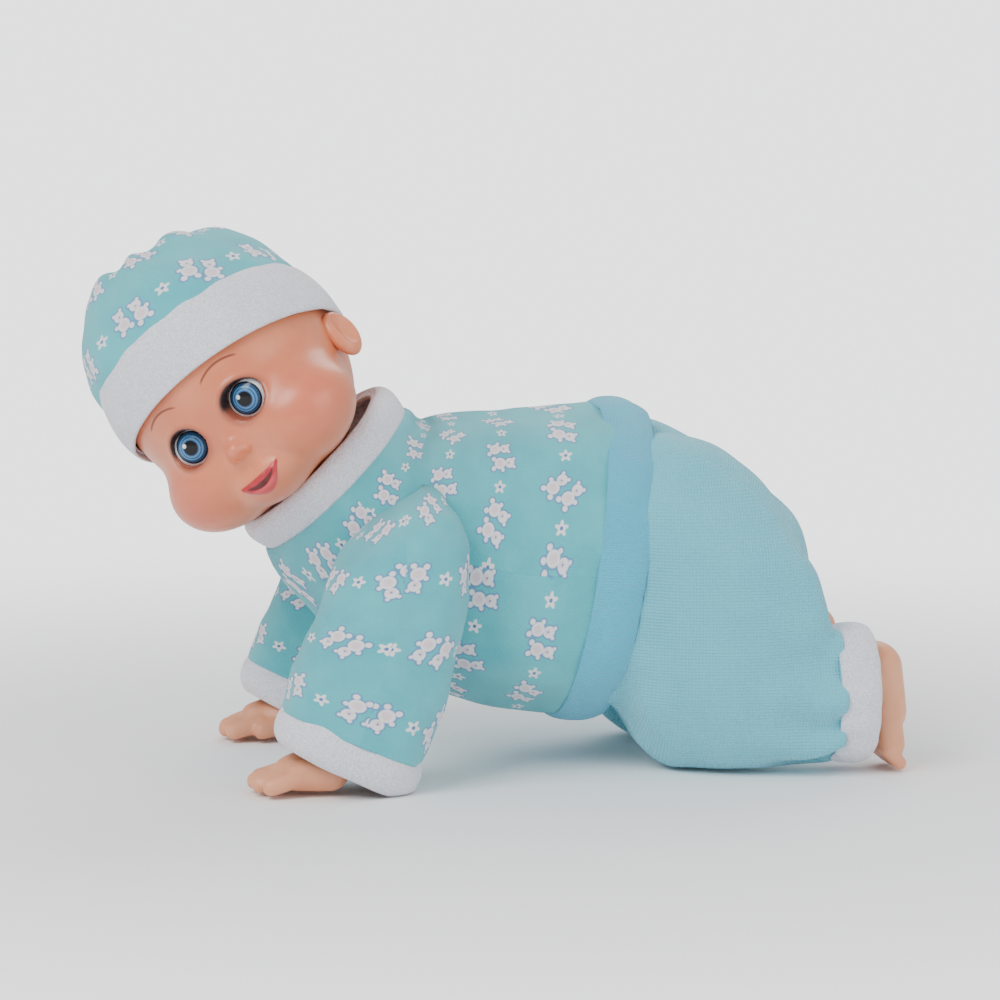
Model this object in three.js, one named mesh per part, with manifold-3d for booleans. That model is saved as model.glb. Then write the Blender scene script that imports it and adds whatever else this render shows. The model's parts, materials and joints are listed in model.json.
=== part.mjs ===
// Crawling baby doll: vinyl head with sleep eyes, four swinging limbs, a geared crank drive and clothes.
// Millimetres, +Z up, the doll faces -Y and its left side is +X.
import * as THREE from "three";
import { mergeVertices } from "three/addons/utils/BufferGeometryUtils.js";
import Module from "manifold-3d";

const wasm = await Module();
wasm.setup();

// ---- Driving dimensions ----
const GAP = 0.4; // space left between touching pieces
const NECK = [0, -53, 95]; // where the neck axis leaves the torso
const NECK_TILT = 45; // degrees the neck leans forward
const HEAD_YAW = 67.6; // degrees the face is turned to the doll's left
const HEAD_PITCH = -13.6; // degrees the face looks up from the neck plane
const HEAD_RISE = 58; // head centre above the neck point, along the neck
const HEAD = [39.5, 42, 47]; // half width, half depth, half height
const EYE = { x: 13.2, y: -28.2, z: -12, r: 9.3, socket: 9.8, opening: 6.9 };
const SHOULDER = { y: -44, z: 72 };
const HIP = { y: 45, z: 58.5 };
const CRANK = { y: 0.5, z: 72 };
const ARM_LEVER = 10.9; // hangs below the shoulder axis
const LEG_LEVER = 21.2; // stands above the hip axis
const CRANK_THROW = 3;
const TORSO_CORE = 23; // half width before the rounded edge
const TORSO_EDGE = 10;
const TORSO_WALL = 2.4;
const PANTS_R = 58.5; // the pants are round about the hip axis
const PANTS_HALF = 61;
const CLOTH = 2.3;
const SHIRT_SQUARE = 0.68; // how boxy the shirt's section is
const MODULE = 0.8; // gear module
const WHEEL_TEETH = 26;
const PINION_TEETH = 9;
const GEAR_SPACING = (MODULE * (WHEEL_TEETH + PINION_TEETH)) / 2 + 0.12;

// ---- Materials ----
const finish = (color, roughness, metalness = 0) =>
  new THREE.MeshStandardMaterial({ color, roughness, metalness });
const vinyl = finish(0xd98a66, 0.45);
const handVinyl = finish(0xd9a07c, 0.5);
const print = finish(0x8fd0d8, 0.9);
const plainBlue = finish(0x86cfe6, 0.9);
const white = finish(0xeceaf4, 0.95);
const abs = finish(0xe9e4da, 0.5);
const gearNylon = finish(0xf2f0e6, 0.4);
const steel = finish(0xb8babd, 0.3, 1);
const copper = finish(0xc89a5a, 0.35, 1);
const green = finish(0x2f6b3c, 0.6);
const black = finish(0x202022, 0.6);
const eyeBlue = finish(0x3f6f9e, 0.12);
const red = finish(0xb03030, 0.5);

// ---- Solids ----
function solid(geometry) {
  const g = geometry.index ? geometry.toNonIndexed() : geometry.clone();
  const bare = new THREE.BufferGeometry().setAttribute("position", g.getAttribute("position"));
  const merged = mergeVertices(bare, 1e-4);
  const make = (tri) =>
    new wasm.Manifold(
      new wasm.Mesh({ numProp: 3, vertProperties: merged.attributes.position.array, triVerts: tri }),
    );
  const tri = new Uint32Array(merged.index.array);
  const made = make(tri);
  if (made.volume() > 0) return made;
  for (let i = 0; i < tri.length; i += 3) [tri[i + 1], tri[i + 2]] = [tri[i + 2], tri[i + 1]];
  return make(tri);
}
function geometryOf(manifold) {
  const m = manifold.getMesh();
  const g = new THREE.BufferGeometry();
  g.setAttribute("position", new THREE.BufferAttribute(new Float32Array(m.vertProperties), 3));
  g.setIndex(new THREE.BufferAttribute(new Uint32Array(m.triVerts), 1));
  g.computeVertexNormals();
  return g;
}
const join = (first, ...rest) => rest.reduce((a, b) => a.add(b), first);
const cut = (first, ...rest) => rest.reduce((a, b) => a.subtract(b), first);

const box = (x0, x1, y0, y1, z0, z1) =>
  solid(
    new THREE.BoxGeometry(x1 - x0, y1 - y0, z1 - z0).translate(
      (x0 + x1) / 2,
      (y0 + y1) / 2,
      (z0 + z1) / 2,
    ),
  );
const barX = (x0, x1, y, z, r, sides = 16) =>
  solid(
    new THREE.CylinderGeometry(r, r, x1 - x0, sides).rotateZ(Math.PI / 2).translate((x0 + x1) / 2, y, z),
  );
const barZ = (x, y, z0, z1, r, sides = 16) =>
  solid(
    new THREE.CylinderGeometry(r, r, z1 - z0, sides)
      .rotateX(Math.PI / 2)
      .translate(x, y, (z0 + z1) / 2),
  );
const ball = (x, y, z, rx, ry = rx, rz = rx, wide = 16, high = 10) =>
  solid(new THREE.SphereGeometry(1, wide, high).rotateX(Math.PI / 2).scale(rx, ry, rz).translate(x, y, z));
// A flat outline in the YZ plane, given as [y, z] points, thickened from x0 to x1.
const YZ_TO_X = new THREE.Matrix4().makeBasis(
  new THREE.Vector3(0, 1, 0),
  new THREE.Vector3(0, 0, 1),
  new THREE.Vector3(1, 0, 0),
);
function slab(x0, x1, points, holes = []) {
  const shape = new THREE.Shape(points.map(([y, z]) => new THREE.Vector2(y, z)));
  for (const [y, z, r] of holes) shape.holes.push(new THREE.Path().absarc(y, z, r, 0, 2 * Math.PI, true));
  const g = new THREE.ExtrudeGeometry(shape, { depth: x1 - x0, bevelEnabled: false, curveSegments: 8 });
  return solid(g.applyMatrix4(YZ_TO_X).translate(x0, 0, 0));
}
// A closed tube through elliptical rings: each ring has a centre and two half axes.
// A square power below 1 fills the corners of the ellipses out.
function loft(rings, sides = 16, square = 1) {
  const fill = (v) => Math.sign(v) * Math.abs(v) ** square;
  const g = new THREE.CylinderGeometry(1, 1, 1, sides, rings.length - 1);
  const p = g.getAttribute("position");
  for (let i = 0; i < p.count; i++) {
    const ring = rings[Math.round((0.5 - p.getY(i)) * (rings.length - 1))];
    const [u, w] = [fill(p.getX(i)), fill(p.getZ(i))];
    p.setXYZ(i, ...[0, 1, 2].map((k) => ring.at[k] + u * ring.a[k] + w * ring.b[k]));
  }
  return solid(g);
}
// A ring across the body: a is the half width in X, b the half height along a line leaning in YZ.
const ringAt = (x, y, z, a, b, lean = 0) => ({
  at: [x, y, z],
  a: [a, 0, 0],
  b: [0, b * Math.sin((lean * Math.PI) / 180), b * Math.cos((lean * Math.PI) / 180)],
});
// A ring lying nearly level: a is the half width in X, b the half depth in Y.
const level = (x, y, z, a, b, lean = 0) => ({
  at: [x, y, z],
  a: [a, 0, 0],
  b: [0, b * Math.cos((lean * Math.PI) / 180), b * Math.sin((lean * Math.PI) / 180)],
});

// ---- Assembly ----
const doll = new THREE.Group();
function add(name, shape, material, parent = doll) {
  const mesh = new THREE.Mesh(geometryOf(shape), material);
  mesh.name = name;
  parent.add(mesh);
  return mesh;
}
const SIDES = [
  ["left", 1],
  ["right", -1],
];
const mirrored = (shape, side) => (side > 0 ? shape : shape.mirror([1, 0, 0]));

// ---- Torso shells, parted on the plane through the shoulder and hip axes ----
const TORSO_OUTLINE = [
  [-43, 50],
  [48, 50],
  [52, 58],
  [52, 90],
  [44, 101],
  [-20, 101],
  [-36, 94],
  [-54, 76],
  [-54, 63],
];
function torsoBlock(edge) {
  const shape = new THREE.Shape(TORSO_OUTLINE.map(([y, z]) => new THREE.Vector2(y, z)));
  const g = new THREE.ExtrudeGeometry(shape, {
    depth: 2 * TORSO_CORE,
    bevelThickness: edge,
    bevelSize: edge,
    bevelSegments: 2,
  });
  return solid(g.applyMatrix4(YZ_TO_X).translate(-TORSO_CORE, 0, 0));
}
// The torso also keeps inside the shirt; under is how far below the cloth's outer face it stays.
function torsoForm(edge, under) {
  const [half, high] = [(a) => a - under, (b) => b - under];
  const limit = loft(
    [
      ringAt(0, -58, 94, half(25), high(25), 45),
      ringAt(0, -54, 90, half(25), high(25), 45),
      ringAt(0, -48, 85, half(36), high(34.6), 32),
      ringAt(0, -34, 78, half(38.4), high(43.5), 18),
      ringAt(0, -8, 72.5, half(40.3), high(49), 10),
      ringAt(0, 70, 70, half(49), high(56), 9),
    ],
    20,
    SHIRT_SQUARE,
  );
  return torsoBlock(edge).intersect(limit);
}
const UNDER_SHIRT = CLOTH + 0.7;
const torsoOuter = torsoForm(TORSO_EDGE, UNDER_SHIRT);
const partingAngle = Math.atan2(HIP.z - SHOULDER.z, HIP.y - SHOULDER.y);
const halfSpace = (sign) =>
  solid(
    new THREE.BoxGeometry(200, 300, 200)
      .translate(0, 0, sign * (100 + 0.15))
      .rotateX(partingAngle)
      .translate(0, SHOULDER.y, SHOULDER.z),
  );
const BATTERY_BAY = { x: 26.4, y0: -23, y1: 26 };
const SPEAKER = { y: -33, r: 9.6 };
const SHELL_SCREWS = [-20, 20]; // across the doll
const SHELL_SCREW_Y = 48;
const DOOR_SCREW_Y = 28.4;
const shaftHoles = SIDES.flatMap(([, s]) =>
  [SHOULDER, HIP].map((j) => barX(s > 0 ? 28 : -36, s > 0 ? 36 : -28, j.y, j.z, 4.7)),
);
const shell = cut(torsoOuter, torsoForm(TORSO_EDGE - TORSO_WALL, UNDER_SHIRT + TORSO_WALL), ...shaftHoles);
add(
  "torso_back_shell",
  cut(
    join(
      shell.intersect(halfSpace(1)),
      ...SHELL_SCREWS.map((x) => box(x - 3, x + 3, SHELL_SCREW_Y - 3, 61, 60, 68)),
    ),
    ...SHELL_SCREWS.map((x) => barZ(x, SHELL_SCREW_Y, 58, 65, 1.7, 8)),
  ),
  abs,
);
const grille = [
  [0, 0],
  [5, 0],
  [-5, 0],
  [0, 5],
  [0, -5],
].map(([x, y]) => barZ(x, SPEAKER.y + y, 38, 44, 1.6, 6));
add(
  "torso_belly_shell",
  cut(
    join(shell.intersect(halfSpace(-1)), box(-9, 9, 26.8, 33, 42.3, 47.5)),
    box(-BATTERY_BAY.x, BATTERY_BAY.x, BATTERY_BAY.y0, BATTERY_BAY.y1, 38, 46),
    box(-4.4, 4.4, 25, 31.4, 38, 42.6),
    box(-6, 6, 35.5, 41.5, 38, 46),
    barZ(0, DOOR_SCREW_Y, 40, 46.8, 1.4, 8),
    ...grille,
    ...SHELL_SCREWS.map((x) => barZ(x, SHELL_SCREW_Y, 38, 46, 1.7, 8)),
  ),
  abs,
);
const screw = (x, y, head, tip, headR, shankR) =>
  join(barZ(x, y, head, head + 1.3, headR, 10), barZ(x, y, head + 1, tip, shankR, 8));
SHELL_SCREWS.forEach((x, i) =>
  add(`shell_screw_${i + 1}`, screw(x, SHELL_SCREW_Y, 38.4, 64.5, 3, 1.3), steel),
);

// ---- Battery compartment, switch, speaker and circuit board ----
add(
  "battery_door",
  cut(
    join(
      box(
        -BATTERY_BAY.x + GAP,
        BATTERY_BAY.x - GAP,
        BATTERY_BAY.y0 + GAP,
        BATTERY_BAY.y1 - GAP,
        40,
        42.2,
      ),
      box(-4, 4, 25, 31, 40, 42.2),
    ),
    barZ(0, DOOR_SCREW_Y, 38, 44, 1.4, 8),
  ),
  abs,
);
add("battery_door_screw", screw(0, DOOR_SCREW_Y, 38.4, 46.4, 2.4, 1.1), steel);
[-14, 1.5, 17].forEach((y, i) =>
  add(
    `battery_${i + 1}`,
    join(barX(-24.6, 24, y, 50.8, 7.1, 14), barX(23, 25.4, y, 50.8, 2.7, 8)),
    i % 2 ? red : black,
  ),
);
SIDES.forEach(([name, s]) =>
  add(`battery_contact_${name}`, mirrored(box(25.8, 26.6, -19, 23, 47.5, 57), s), steel),
);
add("power_switch_body", box(-9, 9, 34.5, 42.5, 43, 49), steel);
add("power_switch_knob", box(-5, -2, 36.5, 40.5, 38.4, 42.7), black);
add(
  "speaker",
  join(barZ(0, SPEAKER.y, 43.2, 45.4, SPEAKER.r, 20), barZ(0, SPEAKER.y, 45, 50, 7, 16)),
  black,
);
add(
  "circuit_board",
  join(
    box(-18, 18, 26, 50, 96, 97.6),
    box(-6, 4, 30, 40, 97, 100),
    barZ(11, 36, 97, 105, 3.2, 12),
    box(-15, -9, 40, 46, 97, 101),
  ),
  green,
);

// ---- Gearbox and drive ----
const polar = (from, degrees, distance) => ({
  y: from.y + distance * Math.cos((degrees * Math.PI) / 180),
  z: from.z + distance * Math.sin((degrees * Math.PI) / 180),
});
const ANGLE_2 = 40;
const ANGLE_1 = 120;
const ANGLE_M = 180;
const SHAFT_2 = polar(CRANK, ANGLE_2, GEAR_SPACING);
const SHAFT_1 = polar(SHAFT_2, ANGLE_1, GEAR_SPACING);
const MOTOR = polar(SHAFT_1, ANGLE_M, GEAR_SPACING);
const MOTOR_R = 10;
// A spur gear from x0 to x1 with one tooth centred on the angle toothAt, in degrees.
function gear(x0, x1, axis, teeth, toothAt, bore = 0) {
  const pitch = (MODULE * teeth) / 2;
  const [root, tip] = [pitch - 1.2 * MODULE, pitch + 0.85 * MODULE];
  const step = (2 * Math.PI) / teeth;
  const points = [];
  for (let i = 0; i < teeth; i++) {
    const middle = (toothAt * Math.PI) / 180 + i * step;
    for (const [r, share] of [
      [root, -0.27],
      [tip, -0.09],
      [tip, 0.09],
      [root, 0.27],
    ]) {
      const angle = middle + share * step;
      points.push([axis.y + r * Math.cos(angle), axis.z + r * Math.sin(angle)]);
    }
  }
  return slab(x0, x1, points, bore ? [[axis.y, axis.z, bore]] : []);
}
const halfTooth = (teeth) => 180 / teeth;
const PLATE = [
  [-24, 62],
  [24, 62],
  [24, 90],
  [14, 104],
  [-20, 104],
  [-24, 98],
];
const SHAFT_R = 1.5;
const CRANK_R = 2;
const bearings = [
  [CRANK.y, CRANK.z, CRANK_R + GAP],
  [SHAFT_2.y, SHAFT_2.z, SHAFT_R + GAP],
  [SHAFT_1.y, SHAFT_1.z, SHAFT_R + GAP],
];
add("gearbox_left_plate", slab(12, 14, PLATE, [...bearings, [MOTOR.y, MOTOR.z, 1.6]]), abs);
add("gearbox_right_plate", slab(-14, -12, PLATE, [...bearings, [MOTOR.y, MOTOR.z, MOTOR_R + GAP]]), abs);
[
  [-20, 68],
  [19, 66],
].forEach(([y, z], i) => add(`gearbox_spacer_${i + 1}`, barX(-11.7, 11.7, y, z, 2.2, 10), abs));
add(
  "motor",
  join(barX(-19.5, 2.2, MOTOR.y, MOTOR.z, MOTOR_R, 18), barX(2, 6.2, MOTOR.y, MOTOR.z, 3, 12)),
  steel,
);
add("motor_pinion", gear(6.8, 10.6, MOTOR, PINION_TEETH, 0), copper);
const stub = (axis) => barX(-13.8, 13.8, axis.y, axis.z, SHAFT_R, 12);
add(
  "reduction_gear_1",
  join(
    gear(7, 10, SHAFT_1, WHEEL_TEETH, 180 + halfTooth(WHEEL_TEETH)),
    gear(2.6, 7.2, SHAFT_1, PINION_TEETH, ANGLE_1 + 180),
    stub(SHAFT_1),
  ),
  gearNylon,
);
add(
  "reduction_gear_2",
  join(
    gear(3, 6, SHAFT_2, WHEEL_TEETH, ANGLE_1 + halfTooth(WHEEL_TEETH)),
    gear(-2.2, 3.2, SHAFT_2, PINION_TEETH, ANGLE_2 + 180),
    stub(SHAFT_2),
  ),
  gearNylon,
);
add(
  "crank_gear",
  gear(-1.8, 1.5, CRANK, WHEEL_TEETH, ANGLE_2 + halfTooth(WHEEL_TEETH), CRANK_R + GAP),
  gearNylon,
);
add("crank_axle", barX(-17.2, 17.2, CRANK.y, CRANK.z, CRANK_R, 12), steel);
// Each disc carries one pin; the left pin stands above the axle and the right one below it.
// The pin ends short of the rods, where the closed linkage is opened.
SIDES.forEach(([name, s]) => {
  const disc = cut(
    barX(15, 17.6, CRANK.y, CRANK.z, 8, 20),
    barX(14, 18, CRANK.y, CRANK.z, CRANK_R + GAP, 12),
  );
  const pin = barX(17.5, 20, CRANK.y, CRANK.z + s * CRANK_THROW, 1.5, 10);
  add(`crank_disc_${name}`, mirrored(join(disc, pin), s), gearNylon);
});

// ---- Levers and rods between the crank and the limbs ----
const LEVER_X = [25.6, 26.9];
const ARM_ROD_X = [20.6, 22.4];
const LEG_ROD_X = [23.2, 25];
function lever(axis, reach, pinFrom) {
  const [low, high] = [Math.min(0, reach) - 3, Math.max(0, reach) + 3];
  const blade = [
    [-3, low],
    [3, low],
    [3, high],
    [-3, high],
  ].map(([y, z]) => [axis.y + y, axis.z + z]);
  return join(
    slab(...LEVER_X, blade),
    barX(LEVER_X[0], 43.6, axis.y, axis.z, 4),
    barX(pinFrom, LEVER_X[1], axis.y, axis.z + reach, 1.5, 10),
  );
}
// A flat rod with an eye on the lever's pin and a slotted yoke round the crank pin's path.
function rod([x0, x1], pin) {
  const slope = Math.atan2(CRANK.z - pin.z, CRANK.y - pin.y);
  const length = Math.hypot(CRANK.z - pin.z, CRANK.y - pin.y);
  const outline = [
    [-3.4, -3],
    [length - 5, -3],
    [length - 4, -9],
    [length + 4, -9],
    [length + 4, 9],
    [length - 4, 9],
    [length - 5, 3],
    [-3.4, 3],
  ];
  const placed = new THREE.Matrix4().makeRotationX(slope).setPosition(0, pin.y, pin.z);
  const shape = new THREE.Shape(outline.map(([u, w]) => new THREE.Vector2(u, w)));
  shape.holes.push(new THREE.Path().absarc(0, 0, 1.9, 0, 2 * Math.PI, true));
  shape.holes.push(
    new THREE.Path([
      new THREE.Vector2(length - 1.8, -6),
      new THREE.Vector2(length - 1.8, 6),
      new THREE.Vector2(length + 1.8, 6),
      new THREE.Vector2(length + 1.8, -6),
    ]),
  );
  const g = new THREE.ExtrudeGeometry(shape, { depth: x1 - x0, bevelEnabled: false, curveSegments: 6 });
  return solid(g.applyMatrix4(YZ_TO_X).translate(x0, 0, 0).applyMatrix4(placed));
}
const ARM_PIN = { y: SHOULDER.y, z: SHOULDER.z - ARM_LEVER };
const LEG_PIN = { y: HIP.y, z: HIP.z + LEG_LEVER };

// ---- Limbs ----
const ARM_X = 51.5;
const LEG_X = 48.5;
function arm() {
  const upper = loft([
    level(ARM_X, -43, 80, 5, 5),
    level(ARM_X, -43, 76, 9, 9),
    level(ARM_X, -45, 62, 9.5, 10),
    level(ARM_X, -54, 40, 9, 9.5),
    level(ARM_X, -64, 22, 8, 8.5, -20),
    level(ARM_X, -70, 13, 9.5, 8, -45),
    level(ARM_X, -78, 8, 11, 7, -70),
    level(ARM_X, -86, 6.3, 10.5, 6, -80),
    level(ARM_X, -91, 5.6, 9, 4, -85),
  ], 14);
  const fingers = [-8, -2.7, 2.7, 8].map((x, i) =>
    ball(ARM_X + x * 1.15, -89 - (i === 0 || i === 3 ? 0 : 2), 5.5, 3.1, 8, 4.6, 8, 6),
  );
  const thumb = ball(ARM_X - 12, -80, 5, 3.4, 7, 4.2, 8, 6);
  const heel = ball(ARM_X + 3, -66, 6, 9, 9, 7, 10, 6);
  const whole = join(upper, heel, thumb, ...fingers).intersect(box(0, 90, -120, 0, 0, 100));
  return cut(whole, barX(30, 44.2, SHOULDER.y, SHOULDER.z, 4.5));
}
function sleeveShape(thin) {
  return loft(
    [
      level(51.5, -43, 89 - thin, Math.max(3, 7 - thin), Math.max(4, 12 - thin)),
      level(52, -43, 84 - thin, 11 - thin, 20 - thin),
      level(52, -43, 70, 11.5 - thin, 24 - thin),
      level(52.5, -48, 48, 14 - thin, 25 - thin, -5),
      level(53, -57, 24, 16 - thin, 25 - thin, -18),
      level(53, -62, 12, 15.5 - thin, 24.5 - thin, -24),
    ],
    16,
  );
}
const CUFF_LEAN = -24; // degrees, the front edge is higher
function cuffRing(out) {
  return loft(
    [
      level(53, -58.5, 20, 16 + out, 24 + out, CUFF_LEAN),
      level(53, -61, 14.5, 16.5 + out, 24.5 + out, CUFF_LEAN),
      level(53, -63.5, 9, 14.5 + out, 22.5 + out, CUFF_LEAN - 3),
    ],
    16,
  );
}
function sleeve() {
  const room = join(
    loft(
      [
        level(51.5, -43, 84, 5, 6),
        level(51.5, -43, 80, 9.4, 12),
        level(51.6, -43, 70, 9.9, 21),
        level(52.5, -48, 48, 11.7, 22.5, -5),
        level(53, -60, 16, 13.3, 21.8, -22),
        level(53, -72, -12, 13, 21, -24),
      ],
      16,
    ),
    barX(38, 46, SHOULDER.y, SHOULDER.z, 6, 12),
  );
  const above = solid(
    new THREE.BoxGeometry(200, 200, 200)
      .translate(0, 0, 100)
      .rotateX((CUFF_LEAN * Math.PI) / 180)
      .translate(0, -60.5, 19),
  );
  return cut(sleeveShape(0), room).intersect(above);
}
function sleeveCuff() {
  const hole = loft(
    [
      level(53, -50, 42, 13, 21, CUFF_LEAN),
      level(53, -60, 16, 13.2, 21.2, CUFF_LEAN),
      level(53, -72, -14, 12.6, 20, CUFF_LEAN),
    ],
    16,
  );
  const below = solid(
    new THREE.BoxGeometry(200, 200, 200)
      .translate(0, 0, -100)
      .rotateX((CUFF_LEAN * Math.PI) / 180)
      .translate(0, -60.5, 18.6),
  );
  return cut(cuffRing(0.5), hole).intersect(below).intersect(box(0, 90, -120, 0, 0.6, 100));
}
function leg() {
  const upper = loft([
    level(LEG_X, 56.4, 59, 5, 5, 30),
    level(LEG_X, 56.4, 56.5, 8, 7.6, 25),
    level(LEG_X, 57, 48, 8.8, 8.5, 5),
    level(LEG_X, 58.5, 36, 8.8, 9, 15),
    level(LEG_X - 1, 63, 27, 8.8, 9, 45),
    level(LEG_X - 3, 73, 24.5, 8.5, 8.5, 75),
    level(LEG_X - 2, 98, 24, 8.5, 9.5, 92),
    level(LEG_X - 4, 114, 26, 9, 11, 94),
    level(LEG_X - 5, 123, 27, 10, 16, 92),
    level(LEG_X - 5, 131, 24, 9, 18, 86),
    level(LEG_X - 5, 136, 21, 6, 14, 84),
  ], 14);
  const toes = ball(LEG_X - 5, 131, 6.5, 10.5, 6.5, 7.5, 14, 8);
  const hub = join(barX(39, 45, HIP.y, HIP.z, 6.2, 14), box(40.5, 45, 47.6, 54, 49, 56.8));
  const bored = cut(join(upper, toes, hub), barX(30, 44.2, HIP.y, HIP.z, 4.5));
  return bored.intersect(box(0, 90, 0, 200, 0, 100));
}
// The pants are a wheel about the hip axis: this is that wheel shrunk by a cloth thickness.
function wheel(x0, x1, r) {
  const face = (x, radius) => ({ at: [x, HIP.y, HIP.z], a: [0, radius, 0], b: [0, 0, radius] });
  const faces = [
    face(x0, r - 14),
    face(x0 + 5, r - 4),
    face(x0 + 14, r),
    face(x1 - 14, r),
    face(x1 - 5, r - 4),
    face(x1, r - 14),
  ];
  return loft(faces, 30);
}
// A wedge of the wheel between two angles; inset moves both of its flat sides inwards.
const sector = (from, to, inset = 0) => {
  const radians = (degrees) => (degrees * Math.PI) / 180;
  const back = inset / Math.sin(radians((to - from) / 2));
  const middle = radians((from + to) / 2);
  const [y, z] = [HIP.y + back * Math.cos(middle), HIP.z + back * Math.sin(middle)];
  const points = [[y, z]];
  for (let i = 0; i <= 8; i++) {
    const at = radians(from + ((to - from) * i) / 8);
    points.push([y + 90 * Math.cos(at), z + 90 * Math.sin(at)]);
  }
  return slab(-80, 80, points);
};
const SEAT_FROM = 46; // degrees above the horizon, looking back from the hip axis
const LEG_TOP = 36;
const LEG_FRONT = -92;
const ANKLE = { x: 43.5, y: 108, z: 27 };
const alongY = (x, y, z, a, b) => ({ at: [x, y, z], a: [a, 0, 0], b: [0, 0, b] });
function pantLeg() {
  const outer = cut(wheel(16, PANTS_HALF, PANTS_R), box(0, 35, -50, 120, 35, 140)).intersect(
    sector(LEG_FRONT, LEG_TOP),
  );
  const innerWheel = wheel(16 + CLOTH, PANTS_HALF - CLOTH, PANTS_R - CLOTH);
  const hubBoss = box(0, 37.3, -50, 120, 32.7, 140);
  const inner = cut(innerWheel, hubBoss).intersect(sector(LEG_FRONT, LEG_TOP, CLOTH));
  const tube = loft(
    [
      alongY(41, 78, 27, 20, 25),
      alongY(42, 96, 27, 20, 24),
      alongY(ANKLE.x, ANKLE.y - 0.4, ANKLE.z, 19, 22.5),
    ],
    16,
  );
  const bore = loft(
    [
      alongY(41, 76, 27, 17, 22),
      alongY(42, 96, 27, 17.5, 21.5),
      alongY(ANKLE.x, ANKLE.y + 2, ANKLE.z, 16.5, 20),
    ],
    18,
  );
  const shape = cut(join(outer, tube.intersect(box(0, 90, 60, 140, 0.2, 100))), inner, bore);
  return cut(shape, barX(30, 46, HIP.y, HIP.z, 6.7));
}
function ankleCuff() {
  return cut(
    loft(
      [
        alongY(ANKLE.x, ANKLE.y, ANKLE.z, 19.5, 23.5),
        alongY(ANKLE.x, ANKLE.y + 6, ANKLE.z, 19.8, 23.6),
        alongY(ANKLE.x, ANKLE.y + 12, ANKLE.z, 18.5, 22.5),
      ],
      20,
    ),
    loft(
      [
        alongY(ANKLE.x, ANKLE.y - 2, ANKLE.z, 16.5, 20.5),
        alongY(ANKLE.x, ANKLE.y + 14, ANKLE.z, 16, 19.8),
      ],
      20,
    ),
  );
}
for (const [name, s] of SIDES) {
  add(`${name}_arm_lever`, mirrored(lever(SHOULDER, -ARM_LEVER, ARM_ROD_X[0] - 0.3), s), gearNylon);
  add(`${name}_leg_lever`, mirrored(lever(HIP, LEG_LEVER, LEG_ROD_X[0] - 0.3), s), gearNylon);
  add(`${name}_arm_rod`, mirrored(rod(ARM_ROD_X, ARM_PIN), s), steel);
  add(`${name}_leg_rod`, mirrored(rod(LEG_ROD_X, LEG_PIN), s), steel);
  add(`${name}_arm`, mirrored(arm(), s), handVinyl);
  add(`${name}_leg`, mirrored(leg(), s), handVinyl);
  add(`${name}_sleeve`, mirrored(sleeve(), s), print);
  add(`${name}_sleeve_cuff`, mirrored(sleeveCuff(), s), white);
  add(`${name}_pant_leg`, mirrored(pantLeg(), s), plainBlue);
  add(`${name}_ankle_cuff`, mirrored(ankleCuff(), s), white);
}

// ---- Shirt and pants seat ----
function shirtTube(thin, first = 0) {
  return loft(
    [
      ringAt(0, -54 - first, 90 + first, 25 - thin, 25 - thin, 45),
      ringAt(0, -48, 85, 36 - thin, 34.6 - thin, 32),
      ringAt(0, -34, 78, 38.4 - thin, 43.5 - thin, 18),
      ringAt(0, -8, 72.5, 40.3 - thin, 49 - thin, 10),
      ringAt(0, 10, 70.5, 46 - thin, 52 - thin, 9),
      ringAt(0, 25 + first, 70, 49 - thin, 53 - thin, 9),
    ],
    20,
    SHIRT_SQUARE,
  );
}
const armholes = SIDES.map(([, s]) => barX(s > 0 ? 28 : -46, s > 0 ? 46 : -28, SHOULDER.y, SHOULDER.z, 6));
const torsoClear = torsoBlock(TORSO_EDGE + GAP);
add("shirt_body", cut(shirtTube(0), shirtTube(CLOTH, 2), ...armholes), print);
add(
  "shirt_hem",
  cut(
    loft(
      [
        ringAt(0, 25.4, 70, 50.5, 54, 9),
        ringAt(0, 33, 69.8, 51, 54, 9),
        ringAt(0, 41, 69.5, 50, 53, 9),
      ],
      20,
      SHIRT_SQUARE,
    ),
    loft([ringAt(0, 22, 70, 46.3, 50, 9), ringAt(0, 43, 69.5, 46.6, 50, 9)], 20, SHIRT_SQUARE),
  ),
  plainBlue,
);
const seatOuter = wheel(-PANTS_HALF, PANTS_HALF, PANTS_R);
const seatInner = wheel(-PANTS_HALF + CLOTH, PANTS_HALF - CLOTH, PANTS_R - CLOTH);
const seatMiddle = cut(
  sector(3, 100),
  box(34.4, 90, 0, 200, 0, 200),
  box(-90, -34.4, 0, 200, 0, 200),
);
add(
  "pants_seat",
  cut(
    cut(seatOuter, seatInner).intersect(join(sector(SEAT_FROM, 100), seatMiddle)),
    box(-90, 90, -40, 51.5, 0, 200),
    torsoClear,
  ),
  plainBlue,
);

// ---- Neck, collar and head; from here the frame turns with the neck, then with the head ----
const neck = new THREE.Group();
neck.position.set(...NECK);
neck.rotation.x = (NECK_TILT * Math.PI) / 180;
neck.name = "neck_frame";
doll.add(neck);
const collarCut = solid(
  new THREE.LatheGeometry(
    [
      [18, -2.3],
      [26.5, -2.3],
      [32.5, 6],
      [34.5, 15],
      [32.6, 18.5],
      [31.2, 17.5],
      [30.8, 9],
      [25, 1],
      [18, 1],
      [18, -2.3],
    ].map(([r, h]) => new THREE.Vector2(r, h)),
    24,
  ).rotateX(Math.PI / 2),
);
add("shirt_collar", collarCut, white, neck);
add(
  "neck_post",
  join(barZ(0, 0, -2.3, 26, 12, 18), barZ(0, 0, 22.5, 25, 15.5, 18), barZ(0, 0, -2.3, 1, 16, 18)),
  handVinyl,
  neck,
);
const head = new THREE.Group();
head.position.set(0, 0, HEAD_RISE);
head.rotation.order = "ZXY";
head.rotation.z = (HEAD_YAW * Math.PI) / 180;
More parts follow.
